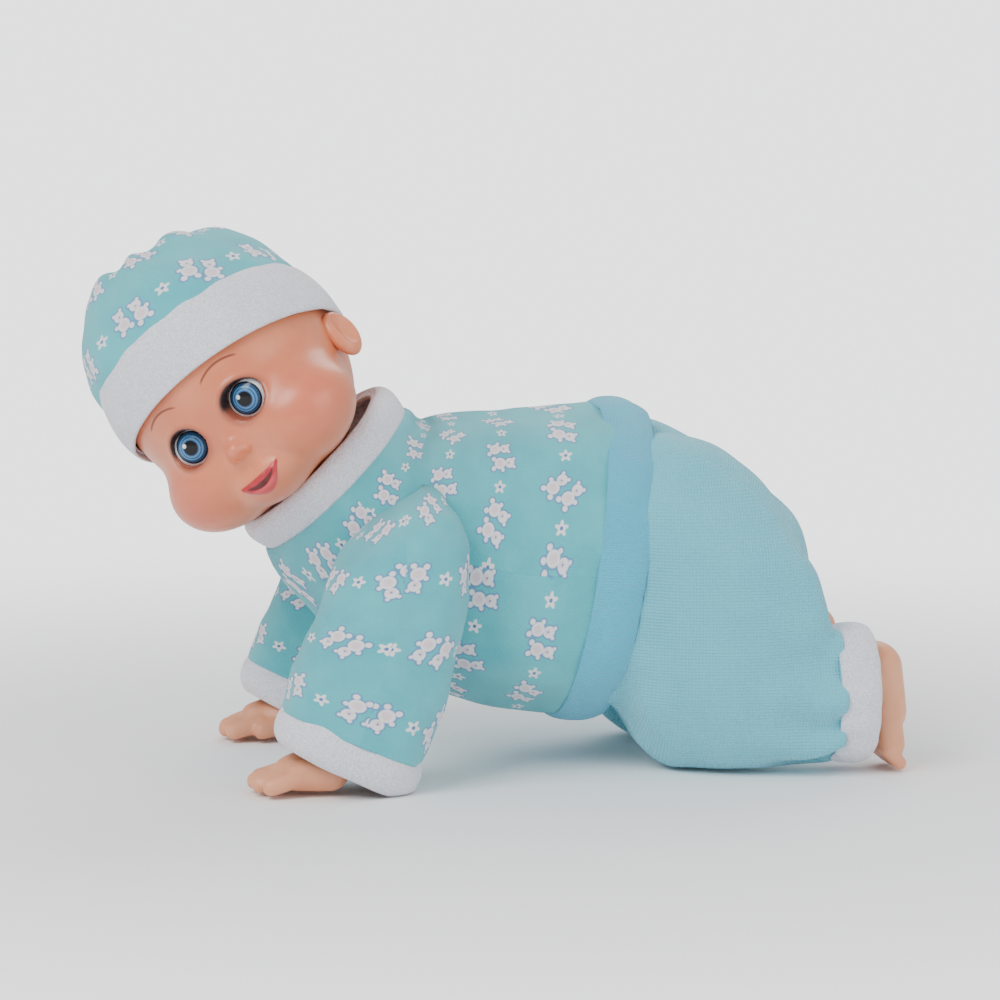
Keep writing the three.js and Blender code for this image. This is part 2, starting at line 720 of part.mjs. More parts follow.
head.rotation.x = (HEAD_PITCH * Math.PI) / 180;
head.name = "head_frame";
neck.add(head);
const skull = (offset, wide = 22, high = 14) =>
  ball(0, 0, 0, HEAD[0] + offset, HEAD[1] + offset, HEAD[2] + offset, wide, high);
const eyes = SIDES.map(([name, s]) => [name, s * EYE.x]);
const ears = SIDES.map(([, s]) => ball(s * 39, 2, -14, 4, 5.5, 8.2, 8, 5));
const cheeks = SIDES.map(([, s]) => ball(s * 16, -17, -24, 20, 19.5, 16, 12, 8));
const chin = ball(0, -22, -34, 12, 13, 10, 10, 8);
const nose = ball(0, -39, -21.5, 4.5, 5.5, 4.5, 8, 6);
// The neck hole is cut along the neck axis, which leans in the head's own frame.
const neckHole = solid(
  new THREE.CylinderGeometry(13.2, 13.2, 60, 20)
    .rotateX(Math.PI / 2)
    .translate(0, 0, -50)
    .rotateX((-HEAD_PITCH * Math.PI) / 180),
);
const flangeRoom = solid(
  new THREE.CylinderGeometry(17.5, 17.5, 8, 20)
    .rotateX(Math.PI / 2)
    .translate(0, 0, 24 - HEAD_RISE)
    .rotateX((-HEAD_PITCH * Math.PI) / 180),
);
add(
  "head_shell",
  cut(
    join(skull(0), ...cheeks, chin, nose, ...ears),
    skull(-3, 14, 10),
    neckHole,
    flangeRoom,
    ...eyes.map(([, x]) => ball(x, EYE.y, EYE.z, EYE.socket, EYE.socket, EYE.socket, 14, 10)),
    ...eyes.map(([, x]) =>
      solid(
        new THREE.CylinderGeometry(EYE.opening, EYE.opening, 30, 14).translate(x, EYE.y - 15, EYE.z),
      ),
    ),
  ),
  vinyl,
  head,
);
for (const [name, x] of eyes) {
  const hub = barX(x - 12, x + 12, EYE.y, EYE.z, 1.8, 10);
  add(`eyeball_${name}`, cut(ball(x, EYE.y, EYE.z, EYE.r, EYE.r, EYE.r, 14, 10), hub), eyeBlue, head);
}
add("eye_axle", barX(-EYE.x - 8, EYE.x + 8, EYE.y, EYE.z, 1.2, 8), steel, head);
add(
  "eye_weight",
  cut(
    join(
      ball(0, EYE.y + 8, EYE.z - 12, 4.2, 4.2, 4.2, 10, 8),
      slab(-1, 1, [
        [EYE.y - 3, EYE.z + 2],
        [EYE.y + 2, EYE.z + 2],
        [EYE.y + 10, EYE.z - 10],
        [EYE.y + 7, EYE.z - 12],
      ]),
    ),
    barX(-3, 3, EYE.y, EYE.z, 1.7, 10),
  ),
  steel,
  head,
);

// ---- Hat: a printed crown above a plain band, both cut on planes that dip towards the back ----
const BAND_LEAN = -14; // degrees
const BAND_LOW = -4;
const BAND_WIDTH = 21;
const slice = (height, sign) =>
  solid(
    new THREE.BoxGeometry(200, 200, 200)
      .translate(0, 0, sign * 100)
      .rotateX((BAND_LEAN * Math.PI) / 180)
      .translate(0, 0, height),
  );
const crown = ball(0, 0, 0, HEAD[0] + 4.4, HEAD[1] + 4.4, HEAD[2] + 7.4, 22, 14);
const band = cut(skull(5.4), skull(0.8)).intersect(slice(BAND_LOW, 1));
add("hat_band", band.intersect(slice(BAND_LOW + BAND_WIDTH, -1)), white, head);
add("hat_crown", cut(crown, skull(0.8)).intersect(slice(BAND_LOW + BAND_WIDTH + GAP, 1)), print, head);

// The origin is under the middle of the doll, on the surface it stands on.
const bounds = new THREE.Box3().setFromObject(doll, true);
const middle = bounds.getCenter(new THREE.Vector3());
doll.position.set(-middle.x, -middle.y, -bounds.min.z);

export default doll;
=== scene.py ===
"""Looks of the crawling baby doll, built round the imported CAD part. Millimetres here, metres in Blender."""

import json
import math

import bmesh
import bpy
import numpy as np
from mathutils import Matrix, Vector, noise


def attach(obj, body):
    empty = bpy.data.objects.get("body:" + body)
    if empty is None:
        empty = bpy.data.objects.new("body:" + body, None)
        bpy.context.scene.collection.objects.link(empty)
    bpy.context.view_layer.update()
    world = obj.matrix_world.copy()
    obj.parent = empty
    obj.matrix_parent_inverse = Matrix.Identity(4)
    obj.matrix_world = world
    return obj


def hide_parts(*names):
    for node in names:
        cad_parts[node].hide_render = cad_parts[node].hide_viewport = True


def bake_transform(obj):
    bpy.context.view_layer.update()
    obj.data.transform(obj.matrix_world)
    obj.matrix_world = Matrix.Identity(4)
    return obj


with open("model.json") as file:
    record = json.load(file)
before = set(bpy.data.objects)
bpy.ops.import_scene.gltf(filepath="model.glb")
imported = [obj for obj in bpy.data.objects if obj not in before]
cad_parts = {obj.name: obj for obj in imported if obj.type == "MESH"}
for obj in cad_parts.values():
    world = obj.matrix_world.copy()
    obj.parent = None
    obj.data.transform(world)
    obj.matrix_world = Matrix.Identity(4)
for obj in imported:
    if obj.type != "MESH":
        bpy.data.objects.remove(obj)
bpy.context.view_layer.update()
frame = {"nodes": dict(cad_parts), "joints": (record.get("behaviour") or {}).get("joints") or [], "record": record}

MM = 0.001
JOINTS = {j["name"]: j for j in frame["joints"]}
SHIFT = Vector(JOINTS["left_arm_swing"]["pos_m"]) / MM - Vector((51.5, -44, 72))
NECK = Vector(JOINTS["neck_turn"]["pos_m"]) / MM
NECK_AXIS = Vector(JOINTS["neck_turn"]["axis"])
HIP = Vector(JOINTS["left_leg_swing"]["pos_m"]) / MM
HEAD_RISE = 58  # head centre above the neck joint
HEAD_FRAME = (
    Matrix.Translation((NECK + HEAD_RISE * NECK_AXIS) * MM)
    @ Matrix.Rotation(math.radians(45), 4, "X")
    @ Matrix.Rotation(math.radians(67.6), 4, "Z")
    @ Matrix.Rotation(math.radians(-13.6), 4, "X")
)
EYE = Vector((13.2, -28.2, -12))  # left eye's centre in the head's frame
EYE_R = 9.3
SIDES = (("left", 1), ("right", -1))


def smooth(low, high, value):
    """0 below low, 1 above high, and a smooth rise between them."""
    t = np.clip((np.asarray(value, float) - low) / (high - low), 0, 1)
    return t * t * (3 - 2 * t)


def ripple(points, scale, seed=0.0):
    """Smooth noise of about -1 to 1 at each point, with features about scale mm wide."""
    offset = Vector((seed * 7.3, seed * 3.1, -seed * 5.7))
    return np.array([noise.noise(Vector(p) / scale + offset) for p in points]) * 1.6


# ---- Materials ----


class Look:
    """A procedural material: node sockets are joined with short calls."""

    def __init__(self, name, roughness=0.6, metallic=0.0, sheen=0.0, coat=0.0, subsurface=0.0):
        self.material = bpy.data.materials.new(name)
        self.material.use_nodes = True
        self.tree = self.material.node_tree
        self.shader = self.tree.nodes["Principled BSDF"]
        self.shader.inputs["Roughness"].default_value = roughness
        self.shader.inputs["Metallic"].default_value = metallic
        self.shader.inputs["Sheen Weight"].default_value = sheen
        self.shader.inputs["Coat Weight"].default_value = coat
        self.shader.inputs["Coat Roughness"].default_value = 0.25
        self.shader.inputs["Subsurface Weight"].default_value = subsurface
        self.shader.inputs["Subsurface Radius"].default_value = (1.0, 0.4, 0.25)
        self.shader.inputs["Subsurface Scale"].default_value = 0.004

    def put(self, socket, value):
        if isinstance(value, bpy.types.NodeSocket):
            self.tree.links.new(value, socket)
        elif socket.type == "RGBA" and len(value) == 3:
            socket.default_value = (*value, 1)
        else:
            socket.default_value = value

    def node(self, kind, *values, out=0, **settings):
        n = self.tree.nodes.new(kind)
        for key, value in settings.items():
            setattr(n, key, value)
        for i, value in enumerate(values):
            if value is not None:
                self.put(n.inputs[i], value)
        return n.outputs[out]

    def math(self, operation, a, b=0.0, clamp=False):
        return self.node("ShaderNodeMath", a, b, operation=operation, use_clamp=clamp)

    def times(self, a, b):
        return self.math("MULTIPLY", a, b)

    def plus(self, a, b):
        return self.math("ADD", a, b)

    def minus(self, a, b):
        return self.math("SUBTRACT", a, b)

    def vector(self, operation, a, b=(0, 0, 0), out=0):
        return self.node("ShaderNodeVectorMath", a, b, operation=operation, out=out)

    def place(self, which):
        """Texture coordinates in millimetres: Object or UV."""
        coordinates = self.tree.nodes.new("ShaderNodeTexCoord").outputs[which]
        return self.vector("MULTIPLY", coordinates, (1 / MM,) * 3)

    def spot(self):
        """The point in the frame its piece was drawn in, in millimetres."""
        return self.node("ShaderNodeAttribute", attribute_name="spot", out=1)

    def parts(self, vector):
        """The three components of a vector."""
        n = self.tree.nodes.new("ShaderNodeSeparateXYZ")
        self.put(n.inputs[0], vector)
        return list(n.outputs)

    def ramp(self, value, low, high):
        """0 at low, 1 at high, smooth between; low may be the larger."""
        n = self.tree.nodes.new("ShaderNodeMapRange")
        n.interpolation_type = "SMOOTHSTEP"
        flip = low > high
        ends = (high, low, 1, 0) if flip else (low, high, 0, 1)
        for i, v in enumerate((value, *ends)):
            self.put(n.inputs[i], v)
        return n.outputs[0]

    def mix(self, share, a, b):
        n = self.tree.nodes.new("ShaderNodeMix")
        n.data_type = "RGBA"
        self.put(n.inputs[0], share)
        self.put(n.inputs[6], a)
        self.put(n.inputs[7], b)
        return n.outputs[2]

    def noise(self, place, scale, detail=3.0):
        n = self.tree.nodes.new("ShaderNodeTexNoise")
        self.put(n.inputs["Vector"], place)
        self.put(n.inputs["Scale"], scale)
        self.put(n.inputs["Detail"], detail)
        return n.outputs[0]

    def bump(self, height, distance, strength=1.0):
        n = self.tree.nodes.new("ShaderNodeBump")
        self.put(n.inputs["Strength"], strength)
        self.put(n.inputs["Distance"], distance * MM)
        self.put(n.inputs["Height"], height)
        self.put(self.shader.inputs["Normal"], n.outputs[0])

    def color(self, value):
        self.put(self.shader.inputs["Base Color"], value)


def rgb(r, g, b):
    """A screen colour of 0 to 255 as linear light."""
    return tuple(((c / 255 + 0.055) / 1.055) ** 2.4 if c > 10 else c / 3295 for c in (r, g, b))


def weave(look, place, pitch):
    """Height of a diagonal mesh weave, threads pitch mm apart."""
    x, y, _ = look.parts(place)
    waves = []
    for sign in ("ADD", "SUBTRACT"):
        diagonal = look.math(sign, x, y)
        waves.append(look.math("SINE", look.times(diagonal, math.pi / pitch)))
    return look.times(*waves)


def fabric(name, color, shade, pitch, bump=0.16, fuzz=0.35):
    """Plain cloth: a fine weave with painted shade in its hollows, slight unevenness of colour and a soft sheen.
    """
    look = Look(name, roughness=0.92, sheen=fuzz)
    place = look.place("UV")
    thread = weave(look, place, pitch)
    uneven = look.noise(place, 0.05)
    share = look.plus(look.times(look.ramp(uneven, 0.3, 0.7), 0.3), 0.7)
    tone = look.mix(share, shade, color)
    # painted shade: the colour darkens where the weave's height is low, in the hollows between the threads
    look.color(look.mix(look.times(look.ramp(thread, 0.1, -0.9), 0.4), tone, shade))
    look.bump(look.plus(thread, look.noise(place, 2.5)), bump)
    return look.material


def fleece(name, color, shade):
    """Brushed white cloth with a short, tangled pile, painted darker in the pile's hollows as shade."""
    look = Look(name, roughness=1.0, sheen=0.5)
    place = look.place("Object")
    pile = look.noise(place, 1.6, 6)
    # painted shade: the colour darkens where the pile's bump height is low, in its hollows
    look.color(look.mix(look.ramp(pile, 0.35, 0.65), shade, color))
    look.bump(look.plus(pile, look.noise(place, 0.3)), 0.7)
    return look.material


AQUA = rgb(90, 202, 212)
AQUA_DEEP = rgb(74, 190, 202)
PRINT_WHITE = rgb(246, 246, 250)
PRINT_LINE = rgb(88, 128, 190)
PRINT_PINK = rgb(240, 216, 226)
# The print's pair of little bears: circles as x, y and radius, in shares of a cell.
BEAR = (
    (0.0, -0.08, 0.105),
    (0.0, 0.09, 0.09),
    (-0.065, 0.165, 0.036),
    (0.065, 0.165, 0.036),
    (-0.08, -0.19, 0.05),
    (0.08, -0.19, 0.05),
    (-0.11, -0.03, 0.042),
)
BEARS = [(x - 0.13, y + 0.04, r) for x, y, r in BEAR] + [(0.13 - x, y - 0.04, r) for x, y, r in BEAR]


def printed(name, cell=23.0):
    """Aqua cloth printed with small white bears and flowers."""
    look = Look(name, roughness=0.92, sheen=0.35)
    place = look.place("UV")
    wobble = look.vector("MULTIPLY", place, (1 / cell, 1 / cell, 0))

    def tile(shift):
        """(local x, y, random number) of a brick layout moved by shift cells."""
        u, v, _ = look.parts(look.vector("ADD", wobble, shift))
        row = look.math("FLOOR", v)
        u = look.plus(u, look.times(row, 0.5))
        column = look.math("FLOOR", u)
        number = look.node("ShaderNodeCombineXYZ", column, row, 0.0)
        chance = look.node("ShaderNodeTexWhiteNoise", number)
        x = look.minus(look.math("FRACT", u), 0.5)
        y = look.minus(look.math("FRACT", v), 0.5)
        return x, y, chance

    x, y, chance = tile((0, 0, 0))
    turn = look.times(look.minus(chance, 0.5), 1.5)
    local = look.node("ShaderNodeCombineXYZ", x, y, 0.0)
    spun = look.tree.nodes.new("ShaderNodeVectorRotate")
    spun.rotation_type = "Z_AXIS"
    look.put(spun.inputs["Vector"], local)
    look.put(spun.inputs["Angle"], turn)
    here = spun.outputs[0]
    nearest = None
    for cx, cy, r in BEARS:
        gap = look.vector("DISTANCE", here, (cx, cy, 0), out=1)
        gap = look.minus(gap, r)
        nearest = gap if nearest is None else look.math("SMOOTH_MIN", nearest, gap)
    for node in look.tree.nodes:
        if node.type == "MATH" and node.operation == "SMOOTH_MIN":
            node.inputs[2].default_value = 0.02
    inside = look.ramp(nearest, 0.004, -0.008)
    edge = look.times(look.ramp(look.math("ABSOLUTE", nearest), 0.018, 0.006), 0.75)
    muzzle, nose = None, None
    for cx, cy in ((-0.13, 0.13), (0.13, 0.05)):
        snout = look.ramp(look.vector("DISTANCE", here, (cx, cy - 0.025, 0), out=1), 0.045, 0.03)
        tip = look.ramp(look.vector("DISTANCE", here, (cx, cy - 0.012, 0), out=1), 0.015, 0.009)
        tummy = look.ramp(look.vector("DISTANCE", here, (cx, cy - 0.17, 0), out=1), 0.075, 0.04)
        snout = look.math("MAXIMUM", snout, tummy)
        muzzle = snout if muzzle is None else look.math("MAXIMUM", muzzle, snout)
        nose = tip if nose is None else look.math("MAXIMUM", nose, tip)
    fx, fy, _ = tile((0.5, 0.0, 0))
    angle = look.math("ARCTAN2", fy, fx)
    petals = look.times(look.math("COSINE", look.times(angle, 5)), 0.025)
    flower_at = look.node("ShaderNodeCombineXYZ", fx, fy, 0.0)
    radius = look.vector("LENGTH", flower_at, out=1)
    reach = look.minus(radius, petals)
    flower = look.ramp(reach, 0.085, 0.07)
    heart = look.ramp(radius, 0.03, 0.02)
    cloth = look.mix(look.ramp(look.noise(place, 0.06), 0.3, 0.7), AQUA_DEEP, AQUA)
    tone = look.mix(flower, cloth, PRINT_WHITE)
    tone = look.mix(heart, tone, PRINT_LINE)
    tone = look.mix(inside, tone, PRINT_WHITE)
    tone = look.mix(look.times(muzzle, 0.8), tone, PRINT_PINK)
    tone = look.mix(look.math("MAXIMUM", edge, nose), tone, PRINT_LINE)
    look.color(tone)
    look.bump(look.plus(weave(look, place, 0.45), look.noise(place, 2.0)), 0.12)
    return look.material


def vinyl(name, color, shade, roughness, coat):
    look = Look(name, roughness=roughness, coat=coat, subsurface=0.12)
    place = look.place("Object")
    look.color(look.mix(look.ramp(look.noise(place, 0.045), 0.3, 0.7), shade, color))
    look.bump(look.noise(place, 0.9, 4), 0.05)
    return look.material


SKIN = rgb(226, 138, 98)
SKIN_DEEP = rgb(214, 120, 82)
LIP = rgb(184, 30, 42)
MOUTH_Z = -37.0
MOUTH_HALF = 9.0
SMILE = 3.2
LIPS = (2.6, 4.0, 1.0)  # lens of the lips: height above, height below, narrowing
GAP = (0.5, 1.3, 1.9)  # lens of the opening between them


def face_paint(name):
    """Head vinyl with painted cheeks, brows, lids' edges and lips, and painted shade round the eye openings,
    placed in the head's frame.
    """
    look = Look(name, roughness=0.36, coat=0.3, subsurface=0.15)
    place = look.spot()
    x, y, z = look.parts(place)
    side = look.math("ABSOLUTE", x)
    front = look.ramp(y, -8.0, -16.0)
    mirrored = look.node("ShaderNodeCombineXYZ", side, y, z)

    def near(centre, far, close):
        """1 within close mm of a point and its mirror image, 0 beyond far mm."""
        return look.ramp(look.vector("DISTANCE", mirrored, centre, out=1), far, close)

    tone = look.mix(look.ramp(look.noise(place, 0.04), 0.3, 0.7), SKIN_DEEP, SKIN)
    tone = look.mix(look.times(near((25, -27, -27), 19, 3), 0.62), tone, rgb(222, 92, 74))
    tone = look.mix(look.times(near((0, -44, -22), 7, 1), 0.3), tone, rgb(226, 110, 86))
    tone = look.mix(look.times(near((0, -34, -47), 11, 2), 0.35), tone, rgb(224, 112, 86))
    across = look.math("DIVIDE", look.minus(side, 13.5), 8.0)
    arch = look.times(look.times(across, across), -2.6)
    off = look.math("ABSOLUTE", look.minus(z, look.plus(arch, 3.4)))
    brow = look.times(look.ramp(off, 0.62, 0.2), look.ramp(look.math("ABSOLUTE", across), 1.0, 0.75))
    tone = look.mix(look.times(brow, look.times(front, 0.85)), tone, rgb(120, 48, 28))
    ex = look.math("DIVIDE", look.minus(side, EYE.x), 6.9)
    ez = look.math("DIVIDE", look.minus(z, EYE.z), 6.3)
    rim = look.math("SQRT", look.plus(look.times(ex, ex), look.times(ez, ez)))
    # painted shade: a dark band round each eye opening, where the skin turns in towards the eyeball
    ring = look.times(look.ramp(rim, 1.45, 1.0), front)
    tone = look.mix(look.times(ring, 0.7), tone, rgb(112, 44, 32))
    line = look.times(look.ramp(rim, 1.2, 1.06), look.times(front, look.ramp(z, -12.5, -9.5)))
    tone = look.mix(line, tone, rgb(38, 18, 14))
    mx = look.math("DIVIDE", x, MOUTH_HALF)
    bow = look.times(mx, mx)
    over = look.minus(look.minus(z, MOUTH_Z), look.times(bow, SMILE))

    def lens(high, low, narrow):
        """Distance from the line between the lips, as a share of a lens high above it and low below it."""
        room = look.minus(1.0, look.times(bow, narrow))
        room = look.math("MAXIMUM", room, 0.02)
        above = look.math("DIVIDE", over, look.times(room, high))
        below = look.math("DIVIDE", over, look.times(room, -low))
        return look.math("MAXIMUM", above, below)

    front = look.times(front, look.ramp(look.math("ABSOLUTE", mx), 1.0, 0.9))
    lips = look.times(look.ramp(lens(*LIPS), 1.1, 0.92), front)
    tone = look.mix(lips, tone, LIP)
    lower = look.times(look.ramp(over, -0.9, -1.9), look.ramp(look.math("ABSOLUTE", mx), 0.85, 0.4))
    tone = look.mix(look.times(lower, look.times(lips, 0.55)), tone, rgb(222, 92, 96))
    gap = look.times(look.ramp(lens(*GAP), 1.15, 0.85), front)
    tone = look.mix(gap, tone, rgb(96, 12, 20))
    look.color(tone)
    look.bump(look.noise(place, 0.9, 4), 0.04)
    return look.material


def iris_paint(name, lid):
    """Eyeball: pupil, ringed blue iris, white, and above them the painted lid that closes."""
    look = Look(name, roughness=0.12, coat=0.25)
    look.put(look.shader.inputs["Specular IOR Level"], 0.25)
    x, y, z = look.parts(look.spot())
    r = look.math("SQRT", look.plus(look.times(x, x), look.times(z, z)))
    rings = look.math("SINE", look.times(r, 6.5))
    spokes = look.math("SINE", look.times(look.math("ARCTAN2", z, x), 46.0))
    mottle = look.plus(look.times(rings, 0.6), look.times(spokes, 0.4))
    blue = look.mix(look.ramp(mottle, -1.0, 1.0), rgb(26, 62, 108), rgb(92, 150, 198))
    blue = look.mix(look.ramp(r, 4.0, 5.5), blue, rgb(10, 20, 38))
    tone = look.mix(look.ramp(r, 5.6, 5.85), blue, rgb(226, 226, 228))
    tone = look.mix(look.ramp(r, 2.6, 2.45), tone, (0.002, 0.002, 0.003))
    glint = look.ramp(look.vector("DISTANCE", look.spot(), (-1.4, -9, 1.9), out=1), 0.9, 0.65)
    tone = look.mix(look.times(glint, 0.8), tone, (1, 1, 1))
    tilt = look.math("ARCTAN2", z, look.times(y, -1))
    tone = look.mix(look.ramp(tilt, 0.66, 0.70), tone, lid)
    look.color(tone)
    return look.material


def flat_look(name, color, roughness, metallic=0.0, grain=0.02, scale=0.4):
    """Moulded plastic or plain metal with fine grain and slight wear."""
    look = Look(name, roughness=roughness, metallic=metallic)
    place = look.place("Object")
    wear = look.noise(place, 0.12, 5)
    shade = tuple(c * 0.86 for c in color)
    look.color(look.mix(look.ramp(wear, 0.35, 0.65), shade, color))
    look.put(
        look.shader.inputs["Roughness"],
        look.plus(look.times(wear, 0.2), roughness - 0.1),
    )
    look.bump(look.noise(place, scale * 8, 4), grain)
    return look.material


# ---- Shapes ----


def mesh_object(name, verts, faces, uv=None, place=None):
    """A smooth mesh from points in mm in the frame place, each kept as the attribute spot for painting."""
    mesh = bpy.data.meshes.new(name)
    mesh.from_pydata([tuple(v) for v in np.asarray(verts) * MM], [], faces)
    mesh.polygons.foreach_set("use_smooth", [True] * len(mesh.polygons))
    if uv is not None:
        layer = mesh.uv_layers.new(name="UVMap")
        layer.data.foreach_set("uv", (np.asarray(uv) * MM).ravel())
    spots = mesh.attributes.new("spot", "FLOAT_VECTOR", "POINT")
    spots.data.foreach_set("vector", np.asarray([tuple(v) for v in verts], float).ravel())
    if place is not None:
        mesh.transform(place)
    obj = bpy.data.objects.new(name, mesh)
    bpy.context.scene.collection.objects.link(obj)
    return obj


def spline(values, t):
    """Catmull-Rom curve through rows of values at t from 0 to the last row."""
    v = np.asarray(values, float)
    i = np.clip(np.floor(t).astype(int), 0, len(v) - 2)
    f = (t - i)[:, None]
    p0, p1, p2, p3 = v[np.maximum(i - 1, 0)], v[i], v[i + 1], v[np.minimum(i + 2, len(v) - 1)]
    return 0.5 * (
        2 * p1 + (p2 - p0) * f + (2 * p0 - 5 * p1 + 4 * p2 - p3) * f**2 + (3 * p1 - p0 - 3 * p2 + p3) * f**3
    )


def ring(x, y, z, a, b, lean, square=1.0):
    """A section of a loft: centre, half sizes across X and along a line leaning from Z towards +Y."""
    s, c = math.sin(math.radians(lean)), math.cos(math.radians(lean))
    return [x, y + SHIFT.y, z, a, 0, 0, 0, b * s, b * c, square]


def tube(name, rings, around=160, along=90, fold=None, thick=1.2, place=None, closed=False):
    """A loft through sections, with fold(points, angle, share) moving each point out along its normal."""
    rows = spline(rings, np.linspace(0, len(rings) - 1, along))
    theta = np.linspace(0, 2 * math.pi, around, endpoint=False)
    power = rows[:, 9:10]
    u = np.sign(np.cos(theta)) * np.abs(np.cos(theta)) ** power
    w = np.sign(np.sin(theta)) * np.abs(np.sin(theta)) ** power
    grid = rows[:, None, 0:3] + u[:, :, None] * rows[:, None, 3:6] + w[:, :, None] * rows[:, None, 6:9]
    if fold is not None:
        round_ = np.roll(grid, -1, 1) - np.roll(grid, 1, 1)
        length = np.gradient(grid, axis=0)
        normal = np.cross(round_, length)
        normal /= np.maximum(np.linalg.norm(normal, axis=2, keepdims=True), 1e-9)
        outward = np.sign(np.sum(normal * (grid - rows[:, None, 0:3]), axis=(1, 2)))[:, None, None]
        share = np.repeat(np.linspace(0, 1, along), around)
        angle = np.tile(theta, along)
        depth = fold(grid.reshape(-1, 3), angle, share).reshape(along, around, 1)
        grid = grid + normal * np.where(outward == 0, 1, outward) * depth
    seam = np.linalg.norm(np.roll(grid, -1, 1) - grid, axis=2).sum(axis=1)
    steps = np.linalg.norm(np.diff(grid, axis=0), axis=2).mean(axis=1)
    down = np.concatenate([[0], np.cumsum(steps)])
    faces, uv = [], []
    width = float(np.median(seam))
    facing = np.cross(np.roll(grid, -1, 1) - grid, np.gradient(grid, axis=0))
    flip = np.sum(facing * (grid - rows[:, None, 0:3])) < 0
    for j in range(along - 1):
        for i in range(around):
            k = (i + 1) % around
            quad = [j * around + i, j * around + k, (j + 1) * around + k, (j + 1) * around + i]
            corner = [(i, j), (i + 1, j), (i + 1, j + 1), (i, j + 1)]
            if flip:
                quad.reverse()
                corner.reverse()
            faces.append(quad)
            uv += [(width * p / around, down[q]) for p, q in corner]
    if closed:
        for j, order in ((0, 1), (along - 1, -1)):
            cap = [j * around + i for i in range(around)][:: order if flip else -order]
            faces.append(cap)
            uv += [(0, 0)] * around
    obj = mesh_object(name, grid.reshape(-1, 3), faces, uv, place)
    if thick:
        shell = obj.modifiers.new("cloth", "SOLIDIFY")
        shell.thickness = thick * MM
        shell.offset = -1
    return obj


def finish_shape(obj):
    """Bakes an object's modifiers into its mesh."""
    bpy.context.view_layer.update()
    baked = bpy.data.meshes.new_from_object(obj.evaluated_get(bpy.context.evaluated_depsgraph_get()))
    obj.modifiers.clear()
    obj.data = baked
    obj.data.polygons.foreach_set("use_smooth", [True] * len(obj.data.polygons))
    return obj


def blob(name, lumps, voxel=0.8, rounds=6):
    """One soft body from overlapping capsules, each (start, end, start radius, end radius) in mm."""
    shape = bmesh.new()
    for start, end, r0, r1 in lumps:
        a, b = Vector(start), Vector(end)
        steps = max(2, int((b - a).length / 1.2) + 1)
        for k in range(steps):
            t = k / (steps - 1)
            r = r0 + (r1 - r0) * t
            place = Matrix.Translation((a.lerp(b, t) + SHIFT) * MM) @ Matrix.Scale(r * MM, 4)
            bmesh.ops.create_icosphere(shape, subdivisions=3, radius=1, matrix=place)
    mesh = bpy.data.meshes.new(name)
    shape.to_mesh(mesh)
    shape.free()
    obj = bpy.data.objects.new(name, mesh)
    bpy.context.scene.collection.objects.link(obj)
    remesh = obj.modifiers.new("join", "REMESH")
    remesh.mode = "VOXEL"
    remesh.voxel_size = voxel * MM
    soften = obj.modifiers.new("soften", "SMOOTH")
    soften.factor = 0.5
    soften.iterations = rounds
    return finish_shape(obj)


def dress(obj, material):
    obj.data.materials.clear()
    obj.data.materials.append(material)
    return obj


WHITE = rgb(240, 240, 247)
WHITE_SHADE = rgb(216, 217, 232)
printed_cloth = printed("printed_cloth")
white_fleece = fleece("white_fleece", WHITE, WHITE_SHADE)
band_cloth = fabric("band_cloth", rgb(78, 192, 222), rgb(60, 176, 210), 0.7)
pants_cloth = fabric("pants_cloth", rgb(112, 202, 220), rgb(84, 182, 206), 1.1, bump=0.22)
skin = vinyl("limb_vinyl", rgb(228, 160, 122), rgb(216, 142, 104), 0.45, 0.15)

# ---- Shirt ----


def shirt_folds(points, angle, share):
    soft = ripple(points * (1, 0.5, 1), 26, 1) * 1.3 + ripple(points, 11, 2) * 0.45
    return soft * smooth(0.03, 0.3, share) + 0.5


shirt = tube(
    "shirt",
    [
        ring(0, -58, 100, 33.6, 33.6, 45, 1),
        ring(0, -56, 98, 35.2, 35.2, 45, 1),
        ring(0, -51, 92, 37, 37, 41, 0.97),
        ring(0, -36, 80, 40, 44, 21, 0.92),
        ring(0, -8, 72.5, 42, 50, 10, 0.88),
        ring(0, 10, 70.5, 48, 53, 9, 0.88),
        ring(0, 30, 70, 50.5, 55, 9, 0.88),
    ],
    around=220,
    along=110,
    fold=shirt_folds,
)
dress(shirt, printed_cloth)
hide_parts("shirt_body")
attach(shirt, "torso")


def band_folds(points, angle, share):
    bulge = 1.3 * np.sin(math.pi * share)
    return bulge + ripple(points * (1, 0.35, 1), 17, 3) * 0.9


hem = tube(
    "hem_band",
    [
        ring(0, 24.5, 70, 51, 55.2, 9, 0.88),
        ring(0, 29, 69.9, 52.3, 56, 9, 0.88),
        ring(0, 36, 69.6, 52.3, 56, 9, 0.88),
        ring(0, 41.5, 69.4, 51.5, 54.8, 9, 0.88),
    ],
    around=220,
    along=30,
    fold=band_folds,
    thick=2.2,
)
dress(hem, band_cloth)
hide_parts("shirt_hem")
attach(hem, "torso")

NECK_FRAME = Matrix.Translation(NECK * MM) @ Matrix.Rotation(math.radians(45), 4, "X")


def neck_ring(height, radius):
    return [0, 0, height, radius, 0, 0, 0, radius, 0, 1.0]


def collar_folds(points, angle, share):
    return ripple(points, 14, 4) * 0.35 + 0.6 * np.sin(math.pi * share)


collar = tube(
    "collar",
    [
        neck_ring(-3.5, 28),
        neck_ring(2, 31.5),
        neck_ring(8, 33.4),
        neck_ring(13.5, 34.4),
        neck_ring(17, 33.8),
        neck_ring(19, 31.6),
        neck_ring(18.6, 28.5),
    ],
    around=140,
    along=24,
    fold=collar_folds,
    thick=2.0,
    place=NECK_FRAME,
)
dress(collar, white_fleece)
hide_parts("shirt_collar")
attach(collar, "torso")

